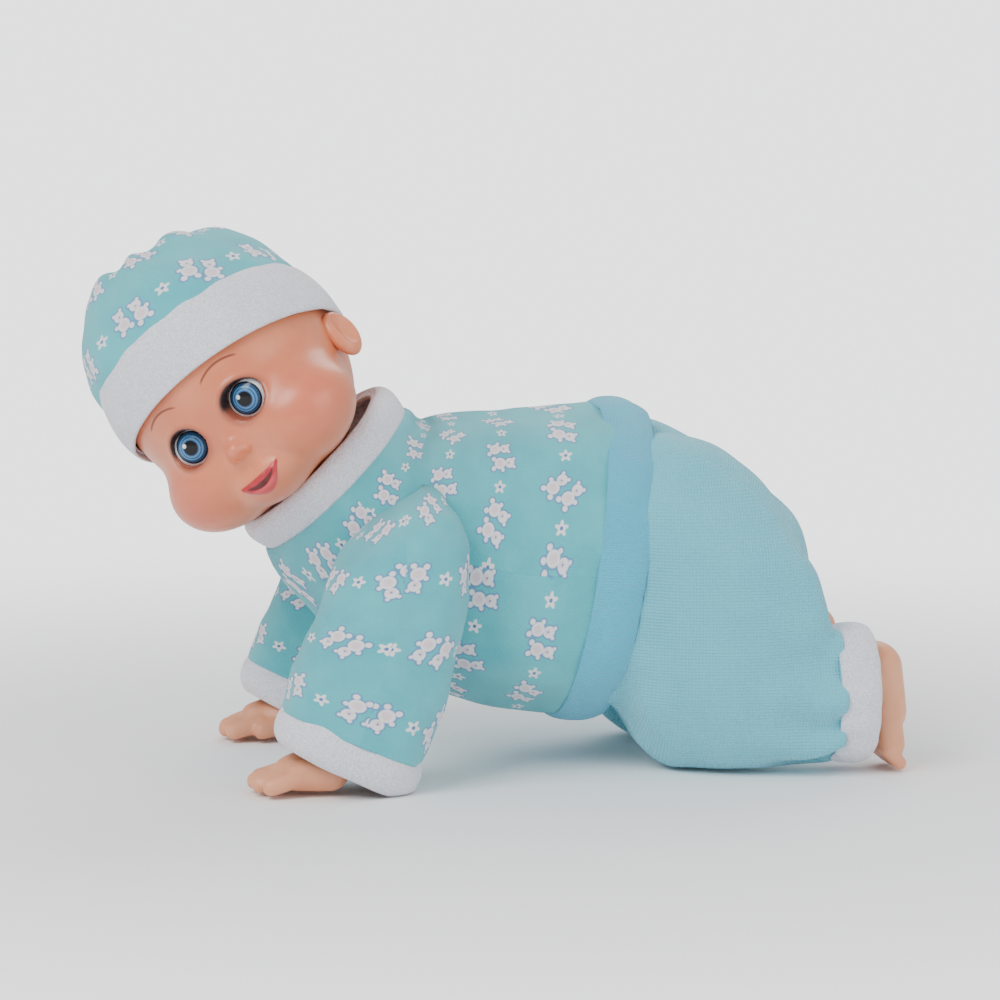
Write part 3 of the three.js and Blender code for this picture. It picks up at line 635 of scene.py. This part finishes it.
# ---- Sleeves, cuffs, hands ----
for name, side in SIDES:

    def sleeve_folds(points, angle, share):
        soft = ripple(points * (1, 1, 0.7), 15, 5 + side) * 1.1 + ripple(points, 7, 8) * 0.35
        return soft * smooth(0.0, 0.3, share)

    sleeve = tube(
        f"{name}_sleeve_cloth",
        [
            ring(side * 36, -40, 97, 2, 9, 60),
            ring(side * 42, -41, 93, 9, 15, 66),
            ring(side * 48.5, -42.5, 86, 12, 20, 76),
            ring(side * 51.5, -43, 76, 12.5, 23.5, 88),
            ring(side * 52.5, -47, 56, 14, 25.5, 94),
            ring(side * 53, -54, 34, 16.5, 26.5, 106),
            ring(side * 53.2, -60, 18.5, 17, 26, 114),
        ],
        around=150,
        along=90,
        fold=sleeve_folds,
    )
    dress(sleeve, printed_cloth)
    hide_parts(f"{name}_sleeve")
    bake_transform(sleeve)
    cuff = tube(
        f"{name}_cuff_cloth",
        [
            ring(side * 53.2, -59.5, 20, 16.6, 25.4, 114),
            ring(side * 53.2, -61, 15.5, 17.6, 26.3, 115),
            ring(side * 53.2, -63, 10.5, 17.2, 25.4, 116),
            ring(side * 53, -64.2, 7.6, 15.8, 23.2, 116),
        ],
        around=140,
        along=20,
        fold=collar_folds,
        thick=1.8,
    )
    for v in cuff.data.vertices:
        v.co.z = max(v.co.z, 0.2 * MM)
    dress(cuff, white_fleece)
    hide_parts(f"{name}_sleeve_cuff")
    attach(cuff, f"{name}_arm_body")
    fingers = []
    for k, reach in enumerate((-94, -96, -95, -92)):
        x = side * (51.5 + (k - 1.5) * 5.4)
        fingers.append(((x * 1.0, -80, 6.5), (x + side * (k - 1.5) * 0.8, reach + 4, 3.9), 3.6, 3.1))
    hand = blob(
        f"{name}_hand",
        [
            ((side * 51.5, -46, 66), (side * 52, -62, 26), 8.5, 8.2),
            ((side * 52, -62, 26), (side * 52, -70, 13), 8.2, 7.6),
            ((side * 46, -71, 9), (side * 47, -80, 7), 6.4, 5.2),
            ((side * 57, -68, 8), (side * 57, -79, 7), 6.8, 5.4),
            ((side * 52, -70, 9), (side * 52, -81, 7.2), 7.4, 5.6),
            ((side * 44, -70, 7), (side * 40, -80, 4.2), 4.6, 3.2),
            *fingers,
        ],
    )
    dress(hand, skin)
    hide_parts(f"{name}_arm")
    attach(hand, f"{name}_arm_body")

# ---- Pants: balloon legs and seat, parted on the centre line into two halves ----
WAIST_Y = 27.5  # where the cloth is cut off at the waist and at the ankle
ANKLE_Y = 109.5
ANKLE = Vector((43.5, 108, 27)) + SHIFT


def thigh_ring(x, half, top, bottom, square=0.85):
    """A section of the balloon leg between its top and bottom points, given as (y, z)."""
    (y1, z1), (y0, z0) = top, bottom
    centre = [x, (y0 + y1) / 2 + SHIFT.y, (z0 + z1) / 2]
    return [*centre, half, 0, 0, 0, (y1 - y0) / 2, (z1 - z0) / 2, square]


def on_circle(degrees, radius=59.5):
    a = math.radians(degrees)
    return (45 + radius * math.cos(a), 58.5 + radius * math.sin(a))


def balloon(side):
    rows = [
        thigh_ring(23, 24, (27, 111), (22, 26)),
        thigh_ring(23.5, 24.8, (38, 113), (35, 21)),
        thigh_ring(27, 29, on_circle(81), (43, 8)),
        thigh_ring(28, 32.5, on_circle(60), (52, 1.2)),
        thigh_ring(31, 31, on_circle(38), (61, 0.2)),
        thigh_ring(36, 26, on_circle(14), (68, 0.4)),
        thigh_ring(41, 21, on_circle(-6, 61), (84, 1.5)),
        thigh_ring(43, 19.5, (106.5, 50), (97, 3)),
        thigh_ring(43.5, 18.8, (112, 49), (109, 5)),
    ]
    shape = tube("balloon", rows, around=90, along=60, thick=0, closed=True)
    shape.scale.x = side
    return shape


def seat():
    """The middle of the pants, joining the two legs at the waist and below it."""
    rows = [
        thigh_ring(0, 26, (27, 112), (22, 27)),
        thigh_ring(0, 28, (38, 114.5), (35, 22)),
        thigh_ring(0, 28, on_circle(81), (43, 16)),
        thigh_ring(0, 25, on_circle(64, 57), (52, 18)),
        thigh_ring(0, 16, on_circle(50, 50), (58, 26)),
        thigh_ring(0, 6, on_circle(40, 44), (62, 38)),
    ]
    return tube("seat", rows, around=90, along=40, thick=0, closed=True)


halves = [balloon(side) for _, side in SIDES] + [seat()]
for half in halves:
    half.data.transform(half.matrix_basis)
    half.matrix_basis = Matrix.Identity(4)
whole = bmesh.new()
for half in halves:
    whole.from_mesh(half.data)
    bpy.data.objects.remove(half)
bmesh.ops.recalc_face_normals(whole, faces=whole.faces)
pants_mesh = bpy.data.meshes.new("pants")
whole.to_mesh(pants_mesh)
whole.free()
pants = bpy.data.objects.new("pants", pants_mesh)
bpy.context.scene.collection.objects.link(pants)
remesh = pants.modifiers.new("join", "REMESH")
remesh.mode = "VOXEL"
remesh.voxel_size = 1.1 * MM
soften = pants.modifiers.new("soften", "SMOOTH")
soften.iterations = 12
finish_shape(pants)


def pants_folds(points, normals):
    """Depth of the cloth's folds: deep gathers by the ankle and soft hollows elsewhere."""
    y, z = points[:, 1] - SHIFT.y, points[:, 2]
    turn = np.arctan2(z - 27, np.abs(points[:, 0]) - 43.5)
    gather = np.sin(turn * 7 + ripple(points, 30, 11) * 2.2)
    near_cuff = smooth(76, 106, y)
    waist = smooth(60, 30, y) * np.sin(np.abs(points[:, 0]) * 0.42 + ripple(points, 25, 12) * 1.5)
    soft = ripple(points, 30, 13) * 1.2 + ripple(points * (1, 0.6, 1.3), 13, 14) * 0.55
    under = smooth(45, 8, z)
    return soft * (1 - 0.4 * under) + gather * near_cuff * 2.4 + waist * 0.5 - under * 0.3


points = np.empty(len(pants.data.vertices) * 3)
pants.data.vertices.foreach_get("co", points)
points = points.reshape(-1, 3) / MM
normals = np.array([v.normal for v in pants.data.vertices])
points += normals * pants_folds(points, normals)[:, None]
points[:, 2] = np.maximum(points[:, 2], 0.15)
pants.data.vertices.foreach_set("co", (points * MM).ravel())
pants.data.update()

for name, side in SIDES:
    half = pants.copy()
    half.data = pants.data.copy()
    half.name = f"{name}_pants_cloth"
    bpy.context.scene.collection.objects.link(half)
    cut = bmesh.new()
    cut.from_mesh(half.data)
    planes = (
        (Vector((0, 0, 0)), Vector((-side, 0, 0))),
        (Vector((0, WAIST_Y + SHIFT.y, 0)) * MM, Vector((0, -1, 0.0))),
        (Vector((0, ANKLE_Y + SHIFT.y, 0)) * MM, Vector((0, 1, 0))),
    )
    for at, out in planes:
        everything = cut.verts[:] + cut.edges[:] + cut.faces[:]
        bmesh.ops.bisect_plane(cut, geom=everything, plane_co=at, plane_no=out, clear_outer=True)
    loose = [f for f in cut.faces if abs(f.normal.x) > 0.999 and abs(f.calc_center_median().x) < 0.0001]
    bmesh.ops.delete(cut, geom=loose, context="FACES")
    layer = cut.loops.layers.uv.new("UVMap")
    for face in cut.faces:
        for loop in face.loops:
            p = loop.vert.co / MM
            angle = math.atan2(p.z - HIP.z, p.y - HIP.y)
            if angle < -2.6:
                angle += 2 * math.pi
            flat = abs(face.normal.x) > 0.6
            loop[layer].uv = (p.y * MM, p.z * MM) if flat else (p.x * MM, 58 * angle * MM)
        face.smooth = True
    cut.to_mesh(half.data)
    cut.free()
    shell = half.modifiers.new("cloth", "SOLIDIFY")
    shell.thickness = 1.0 * MM
    shell.offset = -1
    dress(half, pants_cloth)
    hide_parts(f"{name}_pant_leg", *(["pants_seat"] if side > 0 else []))
    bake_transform(half)

    def cuff_gathers(points, angle, share):
        gather = np.sin(angle * 13 + ripple(points, 14, 15) * 1.5) * 0.5 * (1 - share)
        return gather + 0.6 * np.sin(math.pi * share)

    def upright(y, half, high):
        return [side * ANKLE.x, y + SHIFT.y, ANKLE.z, half, 0, 0, 0, 0, high, 0.95]

    cuff = tube(
        f"{name}_ankle_cloth",
        [
            upright(107.5, 18.8, 22.4),
            upright(111, 19.8, 23.4),
            upright(117, 20, 23.6),
            upright(121, 18.6, 22.4),
            upright(122, 16, 20),
        ],
        around=140,
        along=22,
        fold=cuff_gathers,
        thick=1.8,
    )
    dress(cuff, white_fleece)
    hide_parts(f"{name}_ankle_cuff")
    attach(cuff, f"{name}_leg_body")
    toes = []
    for k, (dx, r) in enumerate(((8.2, 3.6), (3.4, 3.1), (-0.6, 2.9), (-4.2, 2.7), (-7.4, 2.5))):
        x = side * (43.5 - dx)
        toes.append(((x, 127, 7.5), (x, 131.5, r + 0.3), r, r))
    foot = blob(
        f"{name}_foot",
        [
            ((side * 47, 57, 50), (side * 47, 62, 30), 7.8, 8.2),
            ((side * 47, 62, 30), (side * 46, 75, 25), 8.2, 8.0),
            ((side * 46, 75, 25), (side * 44, 112, 27), 8.0, 9.5),
            ((side * 44, 112, 28), (side * 43.5, 124, 34), 9.5, 9.8),
            ((side * 43.5, 124, 35), (side * 43.5, 127, 20), 9.8, 8.6),
            ((side * 40, 126, 22), (side * 39, 129, 9), 6.6, 5.4),
            ((side * 47, 126, 22), (side * 48, 129, 9), 6.4, 5.0),
            ((side * 43.5, 126, 22), (side * 43.5, 129, 9), 7.4, 5.6),
            *toes,
        ],
        voxel=0.9,
    )
    dress(foot, skin)
    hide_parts(f"{name}_leg")
    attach(foot, f"{name}_leg_body")
bpy.data.objects.remove(pants)

# ---- Head ----


def soft_min(a, b, k):
    h = np.clip(0.5 + 0.5 * (b - a) / k, 0, 1)
    return b + (a - b) * h - k * h * (1 - h)


def egg(p, centre, radii):
    """Rough distance to an ellipsoid."""
    radii = np.asarray(radii, float)
    q = (p - centre) / radii
    k0 = np.linalg.norm(q, axis=1)
    k1 = np.linalg.norm(q / radii, axis=1)
    return k0 * (k0 - 1) / np.maximum(k1, 1e-9)


def head_distance(p):
    mirrored = p.copy()
    mirrored[:, 0] = np.abs(mirrored[:, 0])
    d = egg(p, (0, 0, 0.5), (39.5, 42, 46.5))
    d = soft_min(d, egg(mirrored, (17, -19, -26), (22, 21.5, 17.2)), 7)
    d = soft_min(d, egg(p, (0, -25.5, -36), (12.5, 13, 9.6)), 6)
    d = soft_min(d, egg(p, (0, -33, -36), (10.5, 7.6, 6)), 4)
    d = soft_min(d, egg(p, (0, -34, -20), (3.6, 6, 9)), 4)
    d = soft_min(d, egg(p, (0, -39.6, -22.8), (3.4, 4.4, 3.1)), 2)
    d = soft_min(d, egg(mirrored, (2.7, -38.3, -24), (2.1, 3.2, 2.0)), 1.2)
    return d


ball = bmesh.new()
bmesh.ops.create_icosphere(ball, subdivisions=7, radius=1)
rays = np.array([v.co for v in ball.verts])
triangles = [[v.index for v in f.verts] for f in ball.faces]
ball.free()
middle = np.array((0, -4, -4.0))
reach = np.full(len(rays), 64.0)
for _ in range(70):
    reach -= 0.75 * head_distance(middle + rays * reach[:, None])
face = middle + rays * reach[:, None]

side = np.abs(face[:, 0])
ahead = face[:, 1] < -12
# Eye openings: the skin turns in behind the eyeball's front, with a slightly raised rim.
rim = np.hypot((side - EYE.x) / 6.8, (face[:, 2] - EYE.z) / 6.2)
raised = np.exp(-(((rim - 1.22) / 0.16) ** 2)) * ahead
face[:, 1] -= 0.7 * raised
sunk = smooth(1.06, 0.9, rim) * ahead
face[:, 1] = face[:, 1] * (1 - sunk) + (EYE.y + 1.0) * sunk
# Mouth: full lips with a shallow opening between them.
mx = face[:, 0] / MOUTH_HALF
over = face[:, 2] - MOUTH_Z - SMILE * mx**2


def lens(high, low, narrow):
    room = np.maximum(1 - narrow * mx**2, 0.02)
    return np.maximum(over / (high * room), -over / (low * room))


swell = 1.3 * smooth(1.35, 0.55, lens(*LIPS)) - 1.5 * smooth(1.3, 0.4, lens(*GAP))
face[:, 1] -= swell * ahead * smooth(1.0, 0.85, np.abs(mx))
# Nostrils and the groove above the lip.
for x, z, wide, deep in ((2.0, -25.6, 0.9, 1.6), (0, -30.0, 1.3, 0.5)):
    spot = np.hypot((side - x) / wide, (face[:, 2] - z) / (wide * (1 if x else 1.8)))
    face[:, 1] += deep * np.exp(-(spot**2)) * ahead

head = mesh_object("head_skin", face, triangles, place=HEAD_FRAME)
face_vinyl = face_paint("face_vinyl")
dress(head, face_vinyl)
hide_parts("head_shell")
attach(head, "head")

for name, s in SIDES:
    ear = bmesh.new()
    bmesh.ops.create_icosphere(ear, subdivisions=5, radius=1)
    for v in ear.verts:
        p = v.co.copy()
        u, w = p.y, p.z
        disc = math.hypot((u + 0.12) / 0.62, (w - 0.1) / 0.7)
        hollow = max(0, 1 - disc) ** 0.6 * 0.95 if p.x > 0 else 0
        v.co = Vector((s * (p.x * 3.6 - hollow * 3.4), u * 6.0, w * 8.8 * (1 - 0.1 * u)))
        v.co += Vector((s * (40.3 + 1.6 * u), 2.5, -14.5))
    bmesh.ops.recalc_face_normals(ear, faces=ear.faces)
    lobes = [[v.index for v in f.verts] for f in ear.faces]
    obj = mesh_object(f"{name}_ear", [v.co for v in ear.verts], lobes, place=HEAD_FRAME)
    ear.free()
    dress(obj, face_vinyl)
    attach(obj, "head")

# ---- Sleep eyes: painted balls with a lid and a fringe of lashes ----
eye_look = iris_paint("eye_paint", SKIN_DEEP)
lash_look = flat_look("lashes", (0.012, 0.008, 0.008), 0.5)
for name, s in SIDES:
    centre = Vector((s * EYE.x, EYE.y, EYE.z))
    place = HEAD_FRAME @ Matrix.Translation(centre * MM)
    orb = bmesh.new()
    bmesh.ops.create_uvsphere(orb, u_segments=64, v_segments=48, radius=EYE_R)
    faces = [[v.index for v in f.verts] for f in orb.faces]
    eyeball = mesh_object(f"{name}_eyeball", [v.co for v in orb.verts], faces, place=place)
    orb.free()
    dress(eyeball, eye_look)
    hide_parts(f"eyeball_{name}")
    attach(eyeball, "eyes")
    verts, faces = [], []
    for k in range(25):
        across = math.radians(-38 + 76 * k / 24)
        for width in (-1, 1):
            turn = across + width * math.radians(1.0)
            up = math.radians(36.5)
            out = Vector((math.sin(turn), -math.cos(turn) * math.cos(up), math.cos(turn) * math.sin(up)))
            verts.append(out * (EYE_R - 0.4))
        tip = math.radians(42)
        spread, level = math.sin(across * 1.12), math.cos(across)
        out = Vector((spread, -level * math.cos(tip), level * math.sin(tip)))
        verts.append(out * (EYE_R + 2.3 + 0.4 * (k % 2)))
        faces.append((3 * k, 3 * k + 1, 3 * k + 2))
    lashes = mesh_object(f"{name}_lashes", verts, faces, place=place)
    hair = lashes.modifiers.new("hair", "SOLIDIFY")
    hair.thickness = 0.3 * MM
    dress(lashes, lash_look)
    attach(lashes, "eyes")

# ---- Hat: gathered printed crown over a fleece band that dips to the back ----
BAND_LEAN = math.radians(-14)
BAND_LOW = -4.5
BAND_WIDTH = 21.5
BAND_PLACE = Matrix.Translation(Vector((0, 0, BAND_LOW)) * MM)
HAT_FRAME = HEAD_FRAME @ BAND_PLACE @ Matrix.Rotation(BAND_LEAN, 4, "X")


def head_slice(height, out):
    """A ring round the head at this height above the band's lower edge, out mm clear of the scalp."""
    h = BAND_LOW + height * math.cos(BAND_LEAN)
    share = math.sqrt(max(0.02, 1 - (h / 47) ** 2))
    return [0, -height * 0.2, height, 39.5 * share + out, 0, 0, 0, 42.5 * share + out, 0, 1.0]


def band_fleece(points, angle, share):
    return 1.5 * np.sin(math.pi * share) ** 0.6 + ripple(points, 12, 21) * 0.45


band = tube(
    "hat_band_fleece",
    [head_slice(h, 2.4) for h in (0, 1.2, 7, 14, 20, BAND_WIDTH)],
    around=200,
    along=40,
    fold=band_fleece,
    thick=2.4,
    place=HAT_FRAME,
)
dress(band, white_fleece)
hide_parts("hat_band")
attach(band, "head")


def crown_folds(points, angle, share):
    gather = np.sin(angle * 9 + ripple(points, 30, 22) * 1.6)
    soft = ripple(points, 24, 23) * 1.5 + ripple(points, 10, 24) * 0.7
    gather = gather * 1.5 * smooth(0.35, 0.8, share) * smooth(1.0, 0.9, share)
    return gather + soft * smooth(0.0, 0.2, share)


crown = tube(
    "hat_crown_cloth",
    [
        head_slice(BAND_WIDTH - 4, 2.2),
        head_slice(BAND_WIDTH, 3.6),
        head_slice(BAND_WIDTH + 7, 4.6),
        head_slice(BAND_WIDTH + 15, 5.6),
        head_slice(BAND_WIDTH + 22, 6.6),
        [0, -9, BAND_WIDTH + 27.5, 24, 0, 0, 0, 26, 0, 1],
        [0, -9, BAND_WIDTH + 30, 15, 0, 0, 0, 16, 0, 1],
        [0, -9, BAND_WIDTH + 30.6, 6, 0, 0, 0, 6, 0, 1],
        [0, -9, BAND_WIDTH + 29.5, 1, 0, 0, 0, 1, 0, 1],
    ],
    around=200,
    along=90,
    fold=crown_folds,
    place=HAT_FRAME,
)
dress(crown, printed_cloth)
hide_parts("hat_crown")
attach(crown, "head")

# ---- CAD nodes that stay in sight keep their shapes and take finer materials ----
KEPT_LOOKS = {
    "limb_vinyl": skin,
    "shell_plastic": flat_look("shell_plastic_look", rgb(232, 228, 218), 0.5),
    "gear_plastic": flat_look("gear_plastic_look", rgb(243, 241, 230), 0.4),
    "steel": flat_look("steel_look", rgb(186, 188, 191), 0.32, 1.0),
    "brass": flat_look("brass_look", rgb(200, 154, 90), 0.35, 1.0),
    "battery_wrap": flat_look("battery_wrap_look", rgb(32, 32, 36), 0.3),
    "battery_wrap_red": flat_look("battery_wrap_red_look", rgb(176, 48, 48), 0.3),
    "black_plastic": flat_look("black_plastic_look", rgb(32, 32, 34), 0.6),
    "board_green": flat_look("board_green_look", rgb(47, 107, 60), 0.45),
}
for part in frame["record"]["subparts"]:
    look = KEPT_LOOKS.get(part["material_slot"])
    node = frame["nodes"][part["node"]]
    if look is not None and not node.hide_render:
        node.data.materials.clear()
        node.data.materials.append(look)

# ---- Studio ----
BACKDROP = (0.95, 0.955, 0.97)
BRIGHT = 2.6  # of the backdrop as the camera sees it


def backdrop(tree, shader, share=None):
    """Shows the camera the plain backdrop, by share, instead of a shader's own light."""
    eye = tree.nodes.new("ShaderNodeLightPath").outputs["Is Camera Ray"]
    glow = tree.nodes.new("ShaderNodeBackground" if share is None else "ShaderNodeEmission")
    glow.inputs["Color"].default_value = (*BACKDROP, 1)
    glow.inputs["Strength"].default_value = BRIGHT
    if share is not None:
        both = tree.nodes.new("ShaderNodeMath")
        both.operation = "MULTIPLY"
        tree.links.new(eye, both.inputs[0])
        tree.links.new(share, both.inputs[1])
        eye = both.outputs[0]
    mixed = tree.nodes.new("ShaderNodeMixShader")
    tree.links.new(eye, mixed.inputs[0])
    tree.links.new(shader, mixed.inputs[1])
    tree.links.new(glow.outputs[0], mixed.inputs[2])
    return mixed.outputs[0]


floor_look = Look("floor_look", roughness=0.9)
floor_look.color((0.96, 0.965, 0.975))
floor_look.put(floor_look.shader.inputs["Specular IOR Level"], 0.1)
away = floor_look.vector("LENGTH", floor_look.place("Object"), out=1)
tree = floor_look.tree
surface = backdrop(tree, floor_look.shader.outputs[0], floor_look.ramp(away, 120, 620))
tree.links.new(surface, tree.nodes["Material Output"].inputs["Surface"])
bpy.ops.mesh.primitive_plane_add(size=60, location=(0, 0, -0.0003))
floor = bpy.context.object
floor.name = "studio_floor"
floor.data.materials.append(floor_look.material)

world = bpy.data.worlds.new("studio")
bpy.context.scene.world = world
world.use_nodes = True
sky = world.node_tree.nodes["Background"]
sky.inputs[0].default_value = (1, 1, 1, 1)
sky.inputs[1].default_value = 0.8
surface = backdrop(world.node_tree, sky.outputs[0])
world.node_tree.links.new(surface, world.node_tree.nodes["World Output"].inputs["Surface"])


def lamp(name, place, size, power):
    light = bpy.data.lights.new(name, "AREA")
    light.size = size
    light.energy = power
    obj = bpy.data.objects.new(name, light)
    bpy.context.scene.collection.objects.link(obj)
    obj.location = place
    obj.rotation_euler = (Vector((0, 0, 0.09)) - Vector(place)).to_track_quat("-Z", "Y").to_euler()
    return obj


lamp("key", (0.7, -0.8, 1.0), 0.7, 13)
lamp("fill", (1.0, 0.9, 0.6), 0.9, 5)
lamp("back", (-0.9, 0.4, 1.0), 0.8, 6)

AZIMUTH, ELEVATION, DISTANCE = math.radians(80), math.radians(7), 1.3
aim = Vector((-10.9, 1.9, 89.8)) * MM + Vector((0, SHIFT.y, 0)) * MM
toward = Vector(
    (math.sin(AZIMUTH) * math.cos(ELEVATION), -math.cos(AZIMUTH) * math.cos(ELEVATION), math.sin(ELEVATION))
)
camera_data = bpy.data.cameras.new("camera")
camera_data.lens = 36 * DISTANCE / 0.3534
camera = bpy.data.objects.new("camera", camera_data)
bpy.context.scene.collection.objects.link(camera)
camera.location = aim + toward * DISTANCE
camera.rotation_euler = (-toward).to_track_quat("-Z", "Y").to_euler()
bpy.context.scene.camera = camera
